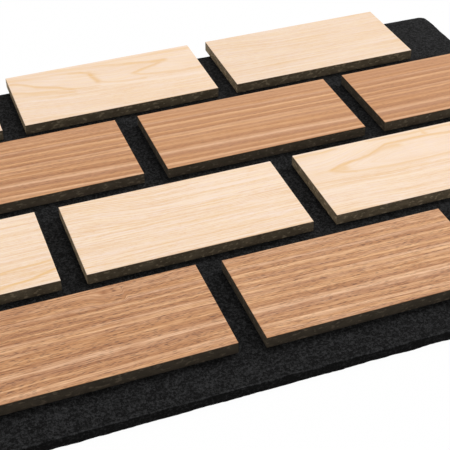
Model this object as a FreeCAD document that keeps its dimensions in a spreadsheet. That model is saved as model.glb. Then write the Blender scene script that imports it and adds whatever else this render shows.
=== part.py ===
import FreeCAD, Part
import os
import Sketcher

# Acoustic wall panel: short veneered tiles laid like brickwork on a sheet of felt.
#
# The panel lies on its back. The origin is the centre of the felt's back face, X runs
# along the rows, Y runs from the front edge to the back edge, and Z is the way the
# panel faces. Rows are counted from the front edge and tiles from the left end.
#
# Each tile is a piece of dark fibreboard with a thin wood veneer pressed on its face.
# The tiles stand out past the felt on one side and leave it bare on the other, in both
# directions, so that panels set edge to edge lap like bricks and hide the joint.

ROWS = 4
TILES_PER_ROW = 3

# Driving sizes in millimetres. Everything else is worked out from them.
SIZES = (
    # the tiles and the way they are laid
    ("tile_length", 247.0),
    ("tile_width", 123.5),
    ("tile_gap", 27.0),
    ("row_shift", 132.5),
    # the layers, from the wall outwards
    ("felt_thickness", 12.0),
    ("core_thickness", 12.0),
    ("veneer_thickness", 0.6),
    # how far the tiles stand out past the felt at the right end and at the back
    ("end_overhang", 57.5),
    ("back_overhang", 17.5),
    # the felt is cut this much short of the whole pattern, so that panels meet freely
    ("joint_clearance", 4.0),
    # the felt's trimmed corners, its soft upper edge, and the veneer's sanded edge
    ("corner_radius", 10.0),
    ("felt_edge_radius", 2.0),
    ("veneer_bevel", 0.25),
    # how far some tiles were set out of line by hand, along their row and across it
    ("slip_along_row1_tile1", 0.5),
    ("slip_across_row1_tile1", 2.5),
    ("slip_along_row1_tile2", 0.5),
    ("slip_across_row1_tile2", -1.0),
    ("slip_along_row2_tile2", -0.5),
    ("slip_across_row2_tile2", -1.0),
    ("slip_along_row3_tile1", -0.5),
    ("slip_across_row3_tile1", 0.5),
    ("slip_along_row3_tile2", 0.5),
    ("slip_across_row3_tile2", -0.5),
    ("slip_along_row3_tile3", -0.5),
    ("slip_across_row3_tile3", -0.5),
    ("slip_along_row4_tile2", 1.0),
    ("slip_across_row4_tile2", 0.5),
    ("slip_along_row4_tile3", -0.5),
)

# Lengths that several pieces share, as expressions on the sheet
PITCH_ALONG = "(Sizes.tile_length + Sizes.tile_gap)"
PITCH_ACROSS = "(Sizes.tile_width + Sizes.tile_gap)"
FELT_LENGTH = f"({TILES_PER_ROW} * {PITCH_ALONG} - Sizes.joint_clearance)"
FELT_WIDTH = f"({ROWS} * {PITCH_ACROSS} - Sizes.joint_clearance)"
CORE_TOP = "(Sizes.felt_thickness + Sizes.core_thickness)"


def size_sheet(doc):
    """Put each driving size into its own cell, with the size's name as its alias."""
    sheet = doc.addObject("Spreadsheet::Sheet", "Sizes")
    for line, (name, value) in enumerate(SIZES, start=1):
        sheet.set(f"A{line}", name)
        sheet.set(f"B{line}", str(value))
        sheet.setAlias(f"B{line}", name)
    doc.recompute()
    return sheet


def origin_plane(body, role):
    """The body's own origin plane of that role, such as XY_Plane."""
    for feature in body.Origin.OriginFeatures:
        if feature.Role == role:
            return feature
    raise ValueError(f"{body.Label} has no {role}")


def rectangle(body, length, width, centred):
    """A sketched rectangle, centred on the body's origin or with a corner on it."""
    sketch = body.newObject("Sketcher::SketchObject", f"{body.Name}_outline")
    sketch.AttachmentSupport = [(origin_plane(body, "XY_Plane"), "")]
    sketch.MapMode = "FlatFace"

    corners = [(0, 0), (1, 0), (1, 1), (0, 1)]
    points = [FreeCAD.Vector(x, y, 0) for x, y in corners]
    for start, end in zip(points, points[1:] + points[:1]):
        sketch.addGeometry(Part.LineSegment(start, end), False)

    front, right, back, left = range(len(corners))
    for line, following in ((front, right), (right, back), (back, left), (left, front)):
        sketch.addConstraint(Sketcher.Constraint("Coincident", line, 2, following, 1))
    for line in (front, back):
        sketch.addConstraint(Sketcher.Constraint("Horizontal", line))
    for line in (right, left):
        sketch.addConstraint(Sketcher.Constraint("Vertical", line))
    if centred:
        sketch.addConstraint(Sketcher.Constraint("Symmetric", front, 1, back, 1, -1, 1))
    else:
        sketch.addConstraint(Sketcher.Constraint("Coincident", front, 1, -1, 1))

    for name, kind, line, expression in (
        ("along", "DistanceX", front, length),
        ("across", "DistanceY", right, width),
    ):
        index = sketch.addConstraint(Sketcher.Constraint(kind, line, 1, line, 2, 1.0))
        sketch.renameConstraint(index, name)
        sketch.setExpression(f"Constraints.{name}", expression)
    return sketch


def slab(doc, label, length, width, thickness, centred=False):
    """A body with one rectangle padded upwards from its XY plane."""
    body = doc.addObject("PartDesign::Body", label)
    body.Label = label
    pad = body.newObject("PartDesign::Pad", f"{label}_sheet")
    pad.Profile = rectangle(body, length, width, centred)
    pad.setExpression("Length", thickness)
    doc.recompute()
    return body, pad


def place(body, along, across, up):
    """Bind the body's place to expressions on the sheet."""
    for axis, expression in (("x", along), ("y", across), ("z", up)):
        body.setExpression(f".Placement.Base.{axis}", expression)


def top_face(feature):
    """The name of the feature's highest face."""
    faces = feature.Shape.Faces
    highest = max(range(len(faces)), key=lambda index: faces[index].CenterOfMass.z)
    return f"Face{highest + 1}"


def upright_edges(feature):
    """The names of the feature's edges that run straight up."""
    names = []
    for index, edge in enumerate(feature.Shape.Edges, start=1):
        box = edge.BoundBox
        if box.ZLength > max(box.XLength, box.YLength):
            names.append(f"Edge{index}")
    return names


def felt_backing(doc):
    """The felt sheet: trimmed corners, and an upper edge rounded by its loose fibres."""
    body, pad = slab(doc, "felt_backing", FELT_LENGTH, FELT_WIDTH, "Sizes.felt_thickness", True)

    corners = body.newObject("PartDesign::Fillet", "felt_corners")
    corners.Base = (pad, upright_edges(pad))
    corners.setExpression("Radius", "Sizes.corner_radius")
    doc.recompute()

    edge = body.newObject("PartDesign::Fillet", "felt_upper_edge")
    edge.Base = (corners, [top_face(corners)])
    edge.setExpression("Radius", "Sizes.felt_edge_radius")
    body.Tip = edge
    return body


def slip(direction, row, tile):
    """The term that a tile's slip adds to its place, or nothing where the tile is in line."""
    name = f"slip_{direction}_row{row}_tile{tile}"
    return f" + Sizes.{name}" if name in dict(SIZES) else ""


def tile_corner(row, tile):
    """Where a tile's front left corner lies, as expressions along and across the panel."""
    along = f"{FELT_LENGTH} / 2 + Sizes.end_overhang - Sizes.tile_length"
    along += f" - {TILES_PER_ROW - tile} * {PITCH_ALONG}"
    if row % 2 == 0:
        along += " - Sizes.row_shift"
    across = f"{FELT_WIDTH} / 2 + Sizes.back_overhang - Sizes.tile_width"
    across += f" - {ROWS - row} * {PITCH_ACROSS}"
    return along + slip("along", row, tile), across + slip("across", row, tile)


def tile_core(doc, row, tile):
    """The fibreboard piece, glued to the felt's face."""
    label = f"core_row{row}_tile{tile}"
    body, pad = slab(doc, label, "Sizes.tile_length", "Sizes.tile_width", "Sizes.core_thickness")
    place(body, *tile_corner(row, tile), "Sizes.felt_thickness")
    return body


def tile_veneer(doc, row, tile):
    """The veneer leaf on the core's face, flush all round, its edge taken off by sanding."""
    label = f"veneer_row{row}_tile{tile}"
    body, pad = slab(doc, label, "Sizes.tile_length", "Sizes.tile_width", "Sizes.veneer_thickness")

    bevel = body.newObject("PartDesign::Chamfer", f"{label}_bevel")
    bevel.Base = (pad, [top_face(pad)])
    bevel.setExpression("Size", "Sizes.veneer_bevel")
    body.Tip = bevel

    place(body, *tile_corner(row, tile), CORE_TOP)
    return body


def check(doc, bodies):
    """Stop if any object failed to compute or any piece isn't a sound single solid."""
    for item in doc.Objects:
        if "Invalid" in item.State or "Error" in item.State:
            raise RuntimeError(f"{item.Label} did not compute")
    for body in bodies:
        shape = body.Shape
        if shape.isNull() or not shape.isValid() or len(shape.Solids) != 1:
            raise RuntimeError(f"{body.Label} is not a sound solid")


document = FreeCAD.newDocument("acoustic_panel")
size_sheet(document)

pieces = [felt_backing(document)]
for row_number in range(1, ROWS + 1):
    for tile_number in range(1, TILES_PER_ROW + 1):
        pieces.append(tile_core(document, row_number, tile_number))
        pieces.append(tile_veneer(document, row_number, tile_number))

document.recompute()
check(document, pieces)

os.makedirs("parts", exist_ok=True)
for piece in pieces:
    piece.Shape.exportStep(f"parts/{piece.Label}.step")
    box = piece.Shape.BoundBox
    print(f"{piece.Label}: x {box.XMin:.2f} to {box.XMax:.2f}, y {box.YMin:.2f} to {box.YMax:.2f}, "
          f"z {box.ZMin:.2f} to {box.ZMax:.2f}, volume {piece.Shape.Volume / 1000:.1f} cm3")
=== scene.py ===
"""Acoustic wall panel: veneered tiles laid like brickwork on black felt board, lying on a pale floor."""

import math

import bpy
import numpy as np
from mathutils import Matrix, Vector


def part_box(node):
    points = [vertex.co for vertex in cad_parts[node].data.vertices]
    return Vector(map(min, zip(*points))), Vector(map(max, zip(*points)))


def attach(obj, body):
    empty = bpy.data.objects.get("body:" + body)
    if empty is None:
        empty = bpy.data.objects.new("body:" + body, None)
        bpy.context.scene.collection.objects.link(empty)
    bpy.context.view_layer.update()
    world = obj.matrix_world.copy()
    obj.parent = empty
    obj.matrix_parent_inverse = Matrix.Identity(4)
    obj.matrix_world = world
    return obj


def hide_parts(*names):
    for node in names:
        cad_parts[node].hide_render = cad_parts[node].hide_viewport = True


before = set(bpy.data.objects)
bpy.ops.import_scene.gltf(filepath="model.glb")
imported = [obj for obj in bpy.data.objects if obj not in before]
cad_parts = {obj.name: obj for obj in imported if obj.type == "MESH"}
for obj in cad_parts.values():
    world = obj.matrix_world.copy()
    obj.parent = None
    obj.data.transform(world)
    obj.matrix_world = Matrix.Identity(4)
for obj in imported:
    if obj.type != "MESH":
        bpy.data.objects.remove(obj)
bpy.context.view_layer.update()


# The camera stands in front of the panel and to its left, and looks down on it through a long lens.
# It is turned a little about its own axis, as a hand-set camera is.
MM = 0.001
CAMERA_PLACE = Vector((-343.2, -968.2, 730.0)) * MM
CAMERA_AIM = Vector((-30.3, -81.0, 24.6)) * MM
CAMERA_ROLL = math.radians(-1.10)
LENS = 89.1
SENSOR = 36.0

camera_data = bpy.data.cameras.new("camera")
camera_data.sensor_width = SENSOR
camera_data.lens = LENS
camera = bpy.data.objects.new("camera", camera_data)
bpy.context.scene.collection.objects.link(camera)
level = (CAMERA_AIM - CAMERA_PLACE).to_track_quat("-Z", "Y").to_matrix().to_4x4()
camera.matrix_world = Matrix.Translation(CAMERA_PLACE) @ level @ Matrix.Rotation(CAMERA_ROLL, 4, "Z")
bpy.context.scene.camera = camera


# The backing is one sheet of needled felt board, pressed from black polyester fibre and cut to size with
# a knife. Its corners are trimmed round and its upper edge has been softened by handling. Its colour is
# lighter along that edge, a painted sheen, and darker on its upright cut faces, a painted shade.
FELT_LOW, FELT_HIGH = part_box("felt_backing")
FELT_CORNER = 10.0 * MM
FELT_EDGE = 2.0 * MM
FELT_STEP = 2.6 * MM
# how deep the pressed face dips, how far the edge stands proud of the solid's and how far it sways, and how
# many times finer the sway's waves are down the cut than along it
FELT_SINK = 0.25 * MM
FELT_PROUD = 0.5 * MM
EDGE_SWAY = 0.35 * MM
SWAY_FINER_DOWN = 3.0
EDGE_ARC_STEPS = 6
CUT_STEPS = 6
# the back edge was cut a little out of square: its slope, and where along the panel it is in line
BACK_EDGE_SLOPE = -0.006
BACK_EDGE_PIVOT = 120.0 * MM


def rolling(points, seed, shortest, longest, waves=28):
    """Sum of sine waves in random directions over points (..., 2), mostly from -1.5 to 1.5."""
    draw = np.random.default_rng(seed)
    turn = draw.uniform(0.0, 2.0 * np.pi, waves)
    length = np.exp(draw.uniform(np.log(shortest), np.log(longest), waves))
    phase = draw.uniform(0.0, 2.0 * np.pi, waves)
    ways = np.stack([np.cos(turn), np.sin(turn)]) * 2.0 * np.pi / length
    return np.sin(points @ ways + phase).sum(-1) / math.sqrt(waves)


def rounded_sheet(low, high, corner, step):
    """Grid over a rectangle with round corners: each corner square is bent into a quarter disc."""
    counts = [max(int(round((high[axis] - low[axis]) / step)), 4) for axis in (0, 1)]
    lines = [np.linspace(low[axis], high[axis], counts[axis] + 1) for axis in (0, 1)]
    u, v = np.meshgrid(*lines, indexing="ij")
    middle = (low + high) / 2.0
    reach = (high - low) / 2.0 - corner
    offset = np.stack([u - middle[0], v - middle[1]], -1)
    past = np.clip((np.abs(offset) - reach) / corner, 0.0, 1.0)
    bent = past * np.sqrt(1.0 - past[..., ::-1] ** 2 / 2.0)
    return middle + offset + np.sign(offset) * (bent - past) * corner


def outline_of(grid):
    """Indices of a grid's border, once round against the clock, as rows and columns."""
    along, across = grid.shape[0] - 1, grid.shape[1] - 1
    ahead, back = np.arange(along), np.arange(along, 0, -1)
    inward, outward = np.arange(across), np.arange(across, 0, -1)
    rows = np.concatenate([ahead, np.full(across, along), back, np.zeros(across, int)])
    columns = np.concatenate([np.zeros(along, int), inward, np.full(along, across), outward])
    return rows, columns


def felt_mesh():
    """The pressed face as a rounded grid, then a profile carried round its border: a quarter arc over the
    upper edge, the cut face straight down, and one face underneath."""
    inset = np.array([FELT_EDGE, FELT_EDGE]) - FELT_PROUD
    low, high = np.array(FELT_LOW[:2]) + inset, np.array(FELT_HIGH[:2]) - inset
    face = rounded_sheet(low, high, FELT_CORNER - FELT_EDGE, FELT_STEP)
    dip = FELT_SINK * np.clip(0.5 + 0.5 * rolling(face, 11, 6.0 * MM, 60.0 * MM), 0.0, 1.0)
    top = np.concatenate([face, (FELT_HIGH.z - dip)[..., None]], -1)

    rows, columns = outline_of(face)
    border = face[rows, columns]
    ahead, behind = np.roll(border, -1, 0), np.roll(border, 1, 0)
    tangent = ahead - behind
    outward = np.stack([tangent[:, 1], -tangent[:, 0]], -1) / np.linalg.norm(tangent, axis=1)[:, None]

    turn = np.linspace(0.0, np.pi / 2.0, EDGE_ARC_STEPS + 1)[1:]
    fall = np.linspace(FELT_HIGH.z - FELT_EDGE, FELT_LOW.z, CUT_STEPS + 1)[1:]
    reach = np.concatenate([np.sin(turn) * FELT_EDGE, np.full(CUT_STEPS, FELT_EDGE)])
    height = np.concatenate([FELT_HIGH.z - (1.0 - np.cos(turn)) * FELT_EDGE, fall])
    run = np.arange(len(border))[:, None] * FELT_STEP
    place = np.stack(np.broadcast_arrays(run, height[None, :] * SWAY_FINER_DOWN), -1)
    sway = EDGE_SWAY * rolling(place, 23, 5.0 * MM, 70.0 * MM) * (reach / FELT_EDGE)
    ring = border[:, None, :] + outward[:, None, :] * (reach[None, :] + sway)[..., None]
    ring = np.concatenate([ring, np.broadcast_to(height[None, :, None], ring.shape[:2] + (1,))], -1)

    for part in (top, ring):
        share = np.clip((part[..., 1] - 0.5 * FELT_HIGH.y) / (0.5 * FELT_HIGH.y), 0.0, 1.0) ** 2
        part[..., 1] += share * BACK_EDGE_SLOPE * (part[..., 0] - BACK_EDGE_PIVOT)

    grid = np.arange(top[..., 0].size).reshape(top.shape[:2])
    quads = np.stack([grid[:-1, :-1], grid[1:, :-1], grid[1:, 1:], grid[:-1, 1:]], -1).reshape(-1, 4)
    rim = grid.size + np.arange(ring[..., 0].size).reshape(ring.shape[:2])
    lines = np.concatenate([grid[rows, columns][:, None], rim], 1)
    after = np.roll(lines, -1, 0)
    sides = np.stack([lines[:, :-1], lines[:, 1:], after[:, 1:], after[:, :-1]], -1).reshape(-1, 4)
    faces = [*quads.tolist(), *sides.tolist(), lines[::-1, -1].tolist()]
    mesh = bpy.data.meshes.new("felt")
    mesh.from_pydata(np.concatenate([top.reshape(-1, 3), ring.reshape(-1, 3)]), [], faces)
    mesh.update()
    mesh.shade_smooth()
    return mesh


class Reading:
    """One output of a material's nodes. Arithmetic on it adds Math nodes."""

    def __init__(self, finish, socket):
        self.finish = finish
        self.socket = socket

    def maths(self, operation, *values):
        return self.finish.add("ShaderNodeMath", dict(enumerate(values)), operation=operation)

    def __add__(self, other):
        return self.maths("ADD", self, other)

    def __sub__(self, other):
        return self.maths("SUBTRACT", self, other)

    def __rsub__(self, other):
        return self.maths("SUBTRACT", other, self)

    def __mul__(self, other):
        return self.maths("MULTIPLY", self, other)

    def __abs__(self):
        return self.maths("ABSOLUTE", self)

    __radd__ = __add__
    __rmul__ = __mul__

    def rise(self, low, high):
        """0 below low, 1 above high, and an S curve between them. With low above high it falls."""
        ends = {"From Min": low, "From Max": high}
        return self.finish.add("ShaderNodeMapRange", {0: self, **ends}, interpolation_type="SMOOTHSTEP")


class Wiring:
    """The nodes of one material or of the world."""

    def __init__(self, tree):
        self.tree = tree

    def add(self, kind, sockets=(), output=0, stops=None, **settings):
        """Adds one node: its settings first, then the values and links of its sockets."""
        node = self.tree.nodes.new(kind)
        for name, value in settings.items():
            holder = node.color_ramp if stops and name == "interpolation" else node
            setattr(holder, name, value)
        for index, (position, tone) in enumerate(stops or ()):
            ramp = node.color_ramp.elements
            stop = ramp[index] if index < 2 else ramp.new(position)
            stop.position = position
            stop.color = (tone, tone, tone, 1.0)
        for name, value in dict(sockets).items():
            self.feed(node.inputs[name], value)
        return Reading(self, node.outputs[output])

    def feed(self, socket, value):
        if isinstance(value, Reading):
            self.tree.links.new(value.socket, socket)
        else:
            socket.default_value = value

    def backdrop(self):
        """1 where the camera, a reflection or a view through glass looks at this, and 0 for light."""
        rays = ("Is Camera Ray", "Is Glossy Ray", "Is Transmission Ray")
        camera_ray, glossy_ray, glass_ray = (self.add("ShaderNodeLightPath", output=ray) for ray in rays)
        return camera_ray + glossy_ray + glass_ray


# how far apart two seeds lie in the noise, along x, y and z
SEED_STEPS = (7.3, 3.1, 5.7)


class Finish(Wiring):
    """A material in the making, with its pattern in millimetres of the panel's own frame."""

    def __init__(self, name, corner=(0.0, 0.0, 0.0), **surface):
        self.material = bpy.data.materials.new(name)
        self.material.use_nodes = True
        super().__init__(self.material.node_tree)
        self.surface = self.tree.nodes["Principled BSDF"]
        for socket, value in surface.items():
            self.surface.inputs[socket.replace("_", " ")].default_value = value
        place = self.add("ShaderNodeTexCoord", output="Object")
        shift = tuple(-value for value in corner)
        scale = (1.0 / MM, 1.0 / MM, 1.0 / MM)
        self.place = self.add("ShaderNodeMapping", {"Vector": place, "Location": shift, "Scale": scale})
        self.x, self.y, self.z = (self.part(self.place, axis) for axis in range(3))

    def part(self, vector, axis):
        """A vector's share along one axis: 0 for x, 1 for y and 2 for z."""
        return self.add("ShaderNodeSeparateXYZ", {0: vector}, axis)

    def facing(self, axis):
        """How squarely the surface faces along one axis, from 0 to 1."""
        return abs(self.part(self.add("ShaderNodeNewGeometry", output="Normal"), axis))

    def noise(self, sizes, seed, detail=2.0, roughness=0.5, along=None, across=None):
        """Cloudy noise from 0 to 1, its clouds of those sizes in millimetres along x, y and z."""
        ways = (self.x if along is None else along, self.y if across is None else across, self.z)
        scaled = {axis: way * (1.0 / size) for axis, (way, size) in enumerate(zip(ways, sizes))}
        point = self.add("ShaderNodeCombineXYZ", scaled)
        start = tuple(seed * step for step in SEED_STEPS)
        moved = self.add("ShaderNodeVectorMath", {0: point, 1: start}, operation="ADD")
        sockets = {"Vector": moved, "Scale": 1.0, "Detail": detail, "Roughness": roughness}
        return self.add("ShaderNodeTexNoise", sockets)

    def dashes(self, sizes, seed, along, across):
        """How far off the middle of the nearest dash is. Dashes are strewn one to a cell of those sizes."""
        run = along * (1.0 / sizes[0]) + seed * SEED_STEPS[0]
        rise = across * (1.0 / sizes[1]) + seed * SEED_STEPS[1]
        point = self.add("ShaderNodeCombineXYZ", {0: run, 1: rise})
        return self.add("ShaderNodeTexVoronoi", {"Vector": point, "Scale": 1.0}, voronoi_dimensions="2D")

    def mix(self, factor, first, second, blend="MIX"):
        """Colour between first and second."""
        sockets = {0: factor, 6: first, 7: second}
        return self.add("ShaderNodeMix", sockets, 2, data_type="RGBA", blend_type=blend)

    def times(self, colour, gain):
        """The colour, each of its parts multiplied by the same part of gain."""
        return self.mix(1.0, colour, gain, blend="MULTIPLY")

    def follow(self, way, points, interpolation="LINEAR"):
        """The height, at each place along way, of a line drawn through points (place, height)."""
        start, reach = points[0][0], points[-1][0] - points[0][0]
        heights = [height for place, height in points]
        low, span = min(heights), max(heights) - min(heights) or 1.0
        stops = [((place - start) / reach, (height - low) / span) for place, height in points]
        share = (way - start) * (1.0 / reach)
        level = self.add("ShaderNodeValToRGB", {0: share}, stops=stops, interpolation=interpolation)
        return level * span + low

    def shade(self, colour, roughness, height, depth):
        """Joins the colour, the roughness and a height in units of depth to the surface."""
        self.feed(self.surface.inputs["Base Color"], colour)
        self.feed(self.surface.inputs["Roughness"], roughness)
        bump = self.add("ShaderNodeBump", {"Height": height, "Distance": depth, "Strength": 1.0})
        self.feed(self.surface.inputs["Normal"], bump)


def linear(red, green, blue):
    """A colour written as it looks on screen, 0 to 255, as linear light."""
    return tuple(((part / 255.0 + 0.055) / 1.055) ** 2.4 for part in (red, green, blue)) + (1.0,)


FELT_PIT = (7, 7, 7)
FELT_FIBRE = (68, 68, 69)


def felt_finish():
    """Short fibres lying every way, crowded into small clumps, a painted sheen on the softened edge and
    painted shade on the cut faces.
    """
    finish = Finish("felt", Specular_IOR_Level=0.1)
    clumps = finish.noise((2.5, 2.5, 2.5), 1, detail=4.0, roughness=0.70)
    specks = finish.noise((1.1, 1.1, 1.1), 6, detail=1.0)
    patches = finish.noise((15.0, 15.0, 15.0), 2)
    fibres = 0.0
    for seed, turn in ((3, 0.35), (4, 1.35), (5, 2.45)):
        cosine, sine = math.cos(turn), math.sin(turn)
        along = finish.x * cosine + finish.y * sine
        across = finish.y * cosine - finish.x * sine
        streak = finish.noise((4.5, 0.45, 0.9), seed, detail=1.0, along=along, across=across)
        fibres = streak.rise(0.54, 0.70) * (1.0 / 3.0) + fibres
    upright = finish.facing(2)
    # painted sheen: the tone is lighter where the normal leans between up and sideways, along the rounded
    # upper edge
    painted_edge_sheen = upright.rise(0.99, 0.8) * upright.rise(0.15, 0.5)
    # painted shade: the tone is darker where the face stands upright, on the cut faces
    painted_cut_shade = upright.rise(0.45, 0.1)
    tone = clumps.rise(0.30, 0.74) * 0.78 + specks.rise(0.42, 0.72) * 0.26 + fibres * 0.36
    tone = tone + (patches - 0.5) * 0.30 + painted_edge_sheen * 0.34 - 0.30 - painted_cut_shade * 0.21
    colour = finish.mix(tone, linear(*FELT_PIT), linear(*FELT_FIBRE))
    finish.shade(colour, 0.95, clumps * 0.9 + fibres * 0.4, 0.6 * MM)
    return finish.material


felt = bpy.data.objects.new("felt", felt_mesh())
bpy.context.scene.collection.objects.link(felt)
felt.data.materials.append(felt_finish())
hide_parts("felt_backing")
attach(felt, "root")


# Each tile's core is a piece of black-dyed fibreboard, sawn to size after the veneer is pressed on. Its
# sawn edge is matte, with fine pale flecks of fibre that lie flat, and a denser skin at top and bottom.
CORE_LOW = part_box("core_row1_tile1")[0].z / MM
CORE_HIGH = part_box("core_row1_tile1")[1].z / MM


def board_finish(name, dark, light, front, end):
    """Flat flecks of fibre in a dark ground, with the board's denser skins. front and end say how bright its
    long sides and its end cuts are."""
    finish = Finish(name, Specular_IOR_Level=0.2)
    flecks = finish.noise((6.0, 6.0, 2.8), 21, detail=2.0, roughness=0.5)
    fine = finish.noise((0.9, 0.9, 0.4), 22, detail=2.0)
    patches = finish.noise((14.0, 14.0, 7.0), 23, detail=2.0)
    middle = abs(finish.z - 0.5 * (CORE_LOW + CORE_HIGH))
    skin = middle.rise(3.0, 6.0)
    tone = flecks.rise(0.54, 0.70) * 0.6 + (fine - 0.5) * 0.4 + (patches - 0.5) * 0.6 + 0.31 - skin * 0.10
    colour = finish.mix(tone, linear(*dark), linear(*light))
    end_cut = finish.facing(0).rise(0.4, 0.8)
    colour = finish.times(colour, finish.mix(end_cut, (front, front, front, 1.0), (end, end, end, 1.0)))
    finish.shade(colour, 0.85, flecks * 0.6 + fine * 0.4, 0.15 * MM)
    return finish.material


# dark ground and light fleck of the boards under the pale rows and under the brown rows, then per tile how
# bright its long sides and its end cuts are
BOARD_COLOURS = (((72, 62, 48), (178, 160, 132)), ((60, 53, 44), (128, 115, 97)))
BOARD_GAINS = {
    (1, 1): (0.74, 0.90), (1, 2): (0.78, 0.92), (1, 3): (0.78, 0.92),
    (2, 1): (1.02, 1.65), (2, 2): (1.02, 1.85), (2, 3): (1.40, 1.50),
    (3, 1): (1.35, 0.95), (3, 2): (1.10, 0.75), (3, 3): (1.60, 0.92),
    (4, 1): (1.00, 1.60), (4, 2): (0.92, 1.85), (4, 3): (1.04, 1.65),
}
for (row, tile), gains in BOARD_GAINS.items():
    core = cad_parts[f"core_row{row}_tile{tile}"]
    core.data.materials.clear()
    core.data.materials.append(board_finish(f"board_row{row}_tile{tile}", *BOARD_COLOURS[row % 2], *gains))


# The front row and the third row are faced with straight-grained brown veneer. All its leaves come from
# one flitch, so the same bands of growth run through every tile, a little shifted from one to the next.
# Each band starts pale at a sharp line and darkens towards the front, and most pores lie in the dark part.
BROWN_DARK = (153, 101, 69)
BROWN_MIDDLE = (199, 147, 108)
BROWN_LIGHT = (245, 201, 162)
BROWN_PORE = (110, 80, 66)
BROWN_EDGE = (96, 66, 46)
# gains on red, green and blue
BROWN_COOL = (0.975, 0.985, 1.05, 1.0)
BROWN_GOLD = (1.04, 0.985, 0.82, 1.0)
TILE_LENGTH = 247.0
TILE_WIDTH = 123.5
# the grain's size in millimetres through the leaf, in which it hardly changes
THROUGH = 40.0

# The bands, as places across the flitch in millimetres from its back edge, and how pale it is there, 0 to 1:
# the flitch's back half and its front half. Then its tint, from greyish at 0 to golden at 1.
BACK_BANDS = (
    (-14.0, 0.45), (-9.0, 0.65), (-6.0, 0.35), (-2.0, 0.50), (2.0, 0.42), (6.5, 0.40), (8.5, 0.62),
    (10.5, 0.35), (14.0, 0.22), (15.5, 0.58), (18.5, 0.60), (19.5, 0.40), (21.0, 0.78), (22.5, 0.66),
    (24.0, 0.30), (29.0, 0.12), (30.5, 0.85), (33.0, 0.80), (35.0, 0.42), (40.0, 0.34), (43.5, 0.26),
    (44.5, 0.82), (46.0, 0.70), (47.0, 0.34), (52.0, 0.06), (53.0, 0.76), (55.5, 0.66), (57.0, 0.48),
)
FRONT_BANDS = (
    (57.0, 0.48), (58.5, 0.88), (60.0, 0.80), (61.5, 0.36), (64.5, 0.30), (66.0, 0.64), (69.0, 0.34),
    (71.5, 0.48), (73.0, 0.70), (74.5, 0.62), (76.0, 0.34), (82.0, 0.06), (83.5, 0.58), (86.0, 0.66),
    (88.0, 1.00), (89.5, 0.92), (91.0, 0.40), (96.0, 0.14), (98.5, 0.26), (100.0, 0.60), (101.5, 0.58),
    (103.0, 0.28), (107.5, 0.16), (108.5, 0.92), (111.0, 0.86), (112.5, 0.40), (115.0, 0.42), (116.5, 0.68),
    (118.0, 0.64), (119.5, 0.40), (126.0, 0.50),
)
TINTS = (
    (-14.0, 0.5), (8.0, 0.3), (13.0, 0.6), (17.0, 0.9), (21.0, 0.0), (26.0, 0.4), (32.0, 0.8),
    (37.0, 0.6), (41.5, 0.1), (45.0, 1.0), (49.0, 0.6), (54.0, 0.2), (59.0, 0.9), (63.0, 0.1),
    (67.0, 0.7), (73.0, 0.9), (79.0, 0.5), (84.0, 0.4), (88.5, 0.2), (95.0, 0.0), (100.5, 0.8),
    (105.0, 0.6), (110.0, 0.5), (113.0, 0.2), (116.5, 0.9), (120.0, 0.1), (126.0, 0.5),
)
SHIFT_PLACES = (0.0, 25.0, 50.0, 75.0, 100.0, TILE_WIDTH)
# where a fault deepens and where it ends, along the tile and from its back edge
FAULT_ALONG = ((128.0, 150.0), (169.0, 165.5))
FAULT_ACROSS = ((6.0, 12.0), (34.0, 24.0))


def edge_shade(finish, face, edge):
    """The leaf's own thin edge is end and side grain, darker than its face."""
    low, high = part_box("veneer_row1_tile1")
    thickness = (high.z - low.z) / MM
    on_face = finish.z.rise(0.3 * thickness, 0.96 * thickness)
    return finish.mix(on_face, linear(*edge), face)


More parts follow.
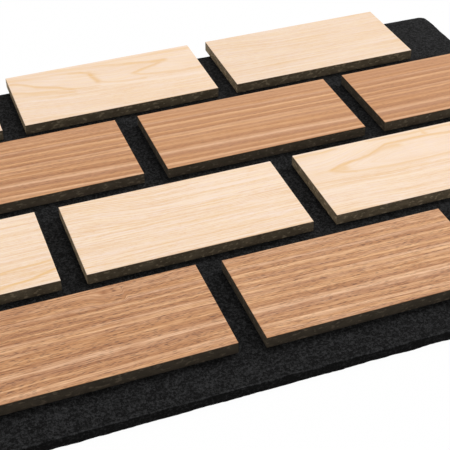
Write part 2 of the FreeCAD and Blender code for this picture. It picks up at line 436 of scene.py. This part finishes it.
def brown_leaf(name, corner, seed, left, right, brightness, banding, contrast, fault):
    """Bands of growth across the width, shifted at the left end and at the right, with finer streaks inside
    them and pores as short dark dashes. A fault is where the bands dip and jump back."""
    finish = Finish(name, corner, Specular_IOR_Level=0.15)
    from_back = TILE_WIDTH - finish.y
    along = finish.x * (1.0 / TILE_LENGTH)
    left_shift = finish.follow(from_back, tuple(zip(SHIFT_PLACES, left)))
    right_shift = finish.follow(from_back, tuple(zip(SHIFT_PLACES, right)))
    shift = left_shift + (right_shift - left_shift) * along
    waver = finish.noise((60.0, 24.0, THROUGH), seed + 1, detail=2.0) - 0.5
    ripple = finish.noise((17.0, 7.0, THROUGH), seed + 8, detail=1.0) - 0.5
    dip = fault
    for way, ends in ((finish.x, FAULT_ALONG), (from_back, FAULT_ACROSS)):
        for end in ends:
            dip = way.rise(*end) * dip
    growth = from_back - shift + waver * 2.0 + ripple * 0.6 - dip
    bands = finish.follow(growth, BACK_BANDS) + finish.follow(growth, FRONT_BANDS) - FRONT_BANDS[0][1]
    wide = finish.noise((260.0, 4.0, THROUGH), seed + 2, detail=1.0, across=growth)
    streaks = finish.noise((120.0, 1.1, THROUGH), seed + 3, detail=2.0, roughness=0.75, across=growth)
    hairs = finish.noise((16.0, 0.9, THROUGH), seed + 4, detail=2.0, roughness=0.6, across=growth)
    cloud = finish.noise((40.0, 22.0, THROUGH), seed + 5)
    tone = (wide - 0.5) * 0.15 + (streaks - 0.5) * 1.3 + (hairs - 0.5) * 0.95 + (cloud - 0.5) * 0.2
    tone = (bands - 0.46) * banding + tone * contrast + 0.58 + brightness
    lower = finish.mix(tone * 2.0, linear(*BROWN_DARK), linear(*BROWN_MIDDLE))
    upper = finish.mix(tone * 2.0 - 1.0, linear(*BROWN_MIDDLE), linear(*BROWN_LIGHT))
    colour = finish.mix(tone.rise(0.499, 0.501), lower, upper)

    drift = finish.noise((70.0, 9.0, THROUGH), seed + 9, across=growth)
    tint = finish.follow(growth, TINTS) * 0.7 + drift * 0.6
    colour = finish.times(colour, finish.mix(tint - 0.15, BROWN_COOL, BROWN_GOLD))
    slant = growth + finish.x * 0.05
    dashes = finish.dashes((9.5, 1.6), seed + 6, finish.x + ripple * 6.0, slant)
    crowd = finish.noise((34.0, 3.0, THROUGH), seed + 7, across=growth)
    crowded = crowd.rise(0.40, 0.60) * 0.7 + tone.rise(0.66, 0.30) * 0.7
    pores = dashes.rise(0.36, 0.14) * crowded * contrast
    colour = finish.mix(pores * 0.62, colour, linear(*BROWN_PORE))
    colour = edge_shade(finish, colour, BROWN_EDGE)
    finish.shade(colour, 0.62, (hairs - 0.5) * 0.3 - pores * 0.8, 0.08 * MM)
    return finish.material


# per tile: seed, how far its bands are shifted at SHIFT_PLACES, at the left end and at the right end, then
# its brightness, how strong its bands and its finer grain are, and how deep its fault is in millimetres.
# The shifts were fitted to the photo by a comparison, in all tiles but (1, 3), and not chosen by hand.
BROWN_TILES = {
    (1, 1): (31, (4.0, 2.0, -2.0, 4.0, 7.0, 10.0),
             (3.5, 5.0, 1.0, 2.0, 2.0, 2.0), -0.06, 0.53, 1.0, 4.5),
    (1, 2): (47, (-2.0, -2.0, -2.8, -2.2, -2.5, -3.5),
             (4.5, 3.0, 4.0, 3.5, 4.5, 4.5), -0.01, 0.53, 1.0, 0.0),
    (1, 3): (63, (2.0, 2.0, 1.0, 0.0, 1.0, 2.0),
             (6.0, 7.0, 6.0, 4.0, 5.0, 6.0), 0.02, 0.55, 1.0, 0.0),
    (3, 1): (79, (4.0, 3.5, 2.5, 1.0, 1.0, -1.0),
             (8.5, 10.0, 11.0, 10.0, 13.0, 12.0), -0.05, 0.54, 0.52, 0.0),
    (3, 2): (95, (4.5, 0.5, 1.5, 1.5, 3.5, 7.0),
             (15.0, 8.5, 5.5, 9.0, 12.0, 9.5), -0.035, 0.47, 0.36, 0.0),
    (3, 3): (111, (13.0, 7.0, 8.5, 9.0, 11.0, 10.0),
             (12.0, 8.0, 7.5, 9.5, 11.0, 12.0), -0.085, 0.44, 0.36, 0.0),
}


def dress_leaf(row, tile, make, *choices):
    """Gives a leaf's CAD node the material that make works out for its place on the panel."""
    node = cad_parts[f"veneer_row{row}_tile{tile}"]
    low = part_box(node.name)[0]
    corner = (low.x / MM, low.y / MM, low.z / MM)
    node.data.materials.clear()
    node.data.materials.append(make(f"leaf_row{row}_tile{tile}", corner, *choices))


for (row, tile), choices in BROWN_TILES.items():
    dress_leaf(row, tile, brown_leaf, *choices)


# The second row and the back row are faced with pale, close-grained veneer. Most leaves are cut straight
# and show only fine lines, and some are cut across the rings, so that a ring opens into a flame.
PALE_GROUND = (253, 229, 207)
PALE_LINE = (240, 200, 158)
PALE_RING = (240, 196, 140)
PALE_EDGE = (150, 112, 78)
PALE_COOL = (0.992, 1.005, 1.055, 1.0)
PALE_GOLD = (1.003, 0.998, 0.935, 1.0)


def drawn_ring(along, across, points, strength, width):
    """One strong ring of growth, drawn through points: sharp on one side and soft on the other."""
    gap = across - along.finish.follow(along, points, "CARDINAL")
    first, last = points[0][0], points[-1][0]
    ends = along.rise(first - 6.0, first + 4.0) * along.rise(last + 6.0, last - 4.0)
    return gap.rise(-0.45 * width, 0.1 * width) * gap.rise(width, 0.1 * width) * ends * strength


def pale_leaf(name, corner, seed, figure, along_rings, across_rings, fineness, calm, gain):
    """Fine lines along the rings of growth, calmer over the back half of a figured leaf, and a few strong
    rings that make its figure. Where rings cross, the strongest one shows."""
    finish = Finish(name, corner, Specular_IOR_Level=0.15)
    from_back = TILE_WIDTH - finish.y
    waver = finish.noise((70.0, 26.0, THROUGH), seed, detail=1.0) - 0.5
    growth = figure(finish, from_back) + waver * 3.0
    lines = finish.noise((140.0, 1.2, THROUGH), seed + 1, detail=2.0, roughness=0.6, across=growth)
    soft = finish.noise((130.0, 6.0, THROUGH), seed + 5, detail=1.0, across=growth)
    hairs = finish.noise((9.0, 0.9, THROUGH), seed + 2, detail=2.0, across=growth)
    cloud = finish.noise((60.0, 24.0, THROUGH), seed + 3)
    specks = finish.noise((4.0, 1.0, THROUGH), seed + 4, detail=1.0, across=growth).rise(0.58, 0.74)
    tone = (lines - 0.5) * 1.9 + (soft - 0.5) * 0.4 + (hairs - 0.5) * 0.9 + specks * 0.25
    back_half = from_back.rise(68.0, 48.0)
    tone = tone * (1.0 - back_half * calm) * fineness + (cloud - 0.5) * 0.5 + 0.34 - back_half * calm * 0.2
    wander = finish.noise((22.0, 12.0, THROUGH), seed + 9, detail=2.0) - 0.5
    rings = 0.0
    for along, across, group in ((finish.x, from_back, along_rings), (from_back, finish.x, across_rings)):
        for points, width, strength in group:
            ring = drawn_ring(along, across + wander * 4.0, points, strength, width)
            if strength > 0.0:
                rings = ring.maths("MAXIMUM", ring, rings)
            else:
                tone = tone + ring
    colour = finish.mix(tone, linear(*PALE_GROUND), linear(*PALE_LINE))
    colour = finish.mix(rings * (lines.rise(0.2, 0.6) * 0.4 + 0.72), colour, linear(*PALE_RING))
    tint = (finish.noise((60.0, 5.0, THROUGH), seed + 6, across=growth) - 0.5) * 2.0
    tint = (finish.noise((14.0, 2.4, THROUGH), seed + 7, across=growth) - 0.5) * 2.0 + tint
    colour = finish.times(colour, finish.mix(tint + 0.5, PALE_COOL, PALE_GOLD))
    colour = finish.times(colour, (gain, gain, gain, 1.0))
    colour = edge_shade(finish, colour, PALE_EDGE)
    finish.shade(colour, 0.6, (hairs - 0.5) * 0.4 - specks * 0.4, 0.05 * MM)
    return finish.material


def straight(finish, from_back):
    """Rings that run along the tile, leaning a little over its back left part."""
    bend = finish.x.rise(110.0, 0.0) * from_back.rise(75.0, 30.0)
    return from_back + bend * 12.0


def flame(finish, from_back):
    """Rings round a point over the back half: one pointed flame that opens to the right."""
    side = from_back - 45.0
    half = abs(side) * 1.5 + side * 0.5
    opened = half - finish.x.rise(20.0, 125.0) * 28.0
    lean = finish.follow(finish.x, ((0.0, 0.0), (30.0, 1.0), (90.0, 6.0), (247.0, 8.0)))
    return opened + (from_back - lean - opened) * from_back.rise(58.0, 64.0)


def swirl(finish, from_back):
    """Rings that lean down from the left end, most at the back, and flatten out to the right."""
    lean = finish.follow(finish.x, ((0.0, 0.0), (80.0, 24.0), (130.0, 31.0), (247.0, 38.0)))
    fold = abs(finish.x - 182.0).rise(50.0, 0.0) * abs(from_back - 38.0).rise(24.0, 0.0)
    return from_back - lean * (from_back.rise(110.0, 20.0) * 0.7 + 0.3) + fold * 10.0


# per tile: seed, the figure, the strong rings drawn along the tile (points as place along it and distance
# from its back edge), and those drawn across it (distance from its back edge and place along it), each with
# its width and its strength, which is negative for a pale streak. Then how strong the fine lines are, how
# calm the back half is, and how bright the leaf is.
PALE_TILES = {
    (2, 1): (131, straight, (
        (((110.0, 119.0), (190.0, 114.0), (222.0, 110.0), (247.0, 103.0)), 5.0, 0.85),
        (((110.0, 93.0), (190.0, 91.0), (247.0, 87.0)), 4.5, 0.8),
    ), (), 1.65, 0.0, 1.02),
    (2, 2): (147, straight, (
        (((-5.0, 112.0), (50.0, 115.0)), 3.0, 0.3),
        (((-5.0, 100.0), (255.0, 103.0)), 3.5, 0.25),
        (((150.0, 49.0), (182.0, 50.0)), 3.0, 0.3),
        (((30.0, 32.0), (100.0, 39.0), (190.0, 44.0)), 4.0, -0.5),
        (((105.0, 23.0), (255.0, 26.0)), 4.0, -0.4),
    ), (), 1.6, 0.0, 1.01),
    (2, 3): (163, flame, (
        (((28.0, 43.0), (40.0, 38.5), (55.0, 35.0), (72.0, 32.0), (88.0, 27.0), (110.0, 16.0), (165.0, 16.0),
          (200.0, 19.0)), 6.5, 0.75),
        (((31.0, 43.0), (40.0, 42.0), (50.0, 42.0)), 14.0, 0.6),
        (((86.0, 28.0), (102.0, 22.0), (126.0, 22.0)), 10.0, 0.62),
        (((30.0, 44.0), (38.0, 49.0), (52.0, 53.0), (58.0, 54.0)), 6.0, 0.65),
        (((34.0, 48.0), (52.0, 53.0), (80.0, 57.0), (100.0, 59.0), (190.0, 58.0)), 5.0, 0.5),
        (((-5.0, 62.0), (30.0, 64.0), (62.0, 68.0)), 4.0, 0.35),
        (((62.0, 68.0), (85.0, 70.0), (150.0, 70.0)), 4.0, 0.2),
        (((-5.0, 72.0), (60.0, 74.0), (82.0, 77.0), (125.0, 77.0)), 4.0, 0.28),
        (((-5.0, 4.0), (54.0, 5.0)), 5.0, 0.55),
        (((92.0, 3.0), (150.0, 5.0), (220.0, 5.0)), 5.0, 0.6),
        (((-5.0, 78.0), (60.0, 79.0), (110.0, 82.0), (180.0, 83.0)), 5.0, -0.5),
        (((-5.0, 97.0), (180.0, 99.0)), 4.0, -0.35),
    ), (
        (((1.0, 162.0), (16.0, 164.0)), 7.0, 0.5),
    ), 1.35, 0.6, 1.0),
    (4, 1): (179, flame, (
        (((70.0, 52.0), (110.0, 42.0), (150.0, 30.0), (250.0, 24.0)), 7.0, 0.5),
        (((70.0, 53.0), (110.0, 64.0), (160.0, 70.0), (250.0, 73.0)), 7.0, 0.45),
    ), (), 1.1, 0.5, 0.97),
    (4, 2): (195, swirl, (
        (((0.0, 18.0), (15.0, 23.0), (30.0, 34.0), (60.0, 48.0), (78.0, 58.0)), 8.0, 0.64),
        (((0.0, 18.0), (15.0, 23.0), (30.0, 34.0), (60.0, 48.0), (78.0, 58.0), (104.0, 65.0)), 8.0, 0.25),
        (((2.0, 19.0), (26.0, 30.0)), 7.0, 0.35),
        (((-5.0, 39.0), (20.0, 49.0), (54.0, 58.0), (76.0, 66.0)), 10.0, 0.45),
        (((-5.0, 9.0), (45.0, 13.0), (80.0, 16.0), (95.0, 21.0), (102.0, 25.0), (112.0, 29.0)), 7.0, 0.35),
        (((76.0, 15.5), (95.0, 21.0), (102.0, 25.0), (110.0, 29.0)), 7.0, 0.52),
        (((90.0, 19.0), (95.0, 21.0), (102.0, 25.0), (108.0, 28.0)), 7.0, 0.70),
        (((109.0, 51.0), (120.0, 56.0), (136.0, 60.0), (170.0, 63.0)), 6.0, 0.42),
        (((54.0, 4.0), (100.0, 9.0), (140.0, 16.0), (180.0, 23.0), (208.0, 26.0)), 8.0, 0.38),
        (((110.0, 10.5), (140.0, 16.0), (180.0, 23.0), (208.0, 26.0)), 8.0, 0.48),
        (((150.0, 18.0), (180.0, 23.0), (208.0, 26.0)), 8.0, 0.62),
        (((186.0, 24.5), (208.0, 26.0)), 10.0, 0.75),
        (((156.0, 46.0), (166.0, 42.0), (190.0, 34.0), (200.0, 30.0)), 7.0, 0.7),
        (((156.0, 47.0), (166.0, 52.0), (184.0, 57.0), (212.0, 61.0), (255.0, 62.0)), 6.0, 0.5),
        (((-5.0, 5.0), (255.0, 6.0)), 6.0, 0.3),
        (((112.0, 60.0), (140.0, 66.0), (180.0, 72.0), (255.0, 77.0)), 6.0, -0.55),
        (((-5.0, 66.0), (60.0, 77.0), (100.0, 82.0)), 6.0, -0.35),
    ), (
        (((24.0, 102.0), (38.0, 104.0), (54.0, 108.0)), 10.0, 0.75),
    ), 1.2, 0.5, 0.985),
    (4, 3): (211, straight, (
        (((-5.0, 92.0), (70.0, 93.0)), 6.0, 0.2),
    ), (), 1.1, 0.0, 0.945),
}
for (row, tile), choices in PALE_TILES.items():
    dress_leaf(row, tile, pale_leaf, *choices)


# The floor is a wide white sheet. To the camera it is nearly white by itself and keeps a faint shadow of
# the panel, and it throws its light back on the panel's edges.
FLOOR_REACH = 6.0
FLOOR_GAP = 0.2 * MM
FLOOR_WHITE = 0.985


def floor_finish():
    """White paper, which the camera sees mostly as plain white."""
    finish = Finish("floor", Base_Color=linear(244, 244, 244), Roughness=0.9)
    glow = finish.add("ShaderNodeEmission", {"Color": (1.0, 1.0, 1.0, 1.0), "Strength": 1.0})
    paper = Reading(finish, finish.surface.outputs[0])
    lit = finish.add("ShaderNodeMixShader", {0: finish.backdrop() * FLOOR_WHITE, 1: paper, 2: glow})
    finish.feed(finish.tree.nodes["Material Output"].inputs["Surface"], lit)
    return finish.material


floor_data = bpy.data.meshes.new("floor")
signs = ((-1, -1), (1, -1), (1, 1), (-1, 1))
floor_corners = [(x * FLOOR_REACH, y * FLOOR_REACH, -FLOOR_GAP) for x, y in signs]
floor_data.from_pydata(floor_corners, [], [(0, 1, 2, 3)])
floor = bpy.data.objects.new("floor", floor_data)
bpy.context.scene.collection.objects.link(floor)
floor.data.materials.append(floor_finish())


# The light is a white room with two broad soft lamps far off, one high over the panel's back right and one
# low at its right, so that each tile throws a soft shadow on the felt in front of it and to its left.
WORLD_LEVEL = 0.45
LAMPS = (
    ("high_softbox", (2.9, 3.9, 7.35), 3.2, 230.0),
    ("side_softbox", (7.3, 2.45, 4.6), 3.6, 465.0),
)

world = bpy.data.worlds.new("room")
world.use_nodes = True
room = Wiring(world.node_tree)
white = (1.0, 1.0, 1.0, 1.0)
light = room.add("ShaderNodeBackground", {"Color": white, "Strength": WORLD_LEVEL})
backdrop = room.add("ShaderNodeBackground", {"Color": white, "Strength": 1.0})
either = room.add("ShaderNodeMixShader", {0: room.backdrop(), 1: light, 2: backdrop})
room.feed(world.node_tree.nodes["World Output"].inputs["Surface"], either)
bpy.context.scene.world = world

for name, place, size, power in LAMPS:
    lamp_data = bpy.data.lights.new(name, "AREA")
    lamp_data.size = size
    lamp_data.energy = power
    lamp = bpy.data.objects.new(name, lamp_data)
    lamp.location = place
    lamp.rotation_euler = (-Vector(place)).to_track_quat("-Z", "Y").to_euler()
    bpy.context.scene.collection.objects.link(lamp)

bpy.context.scene.view_settings.view_transform = "Standard"
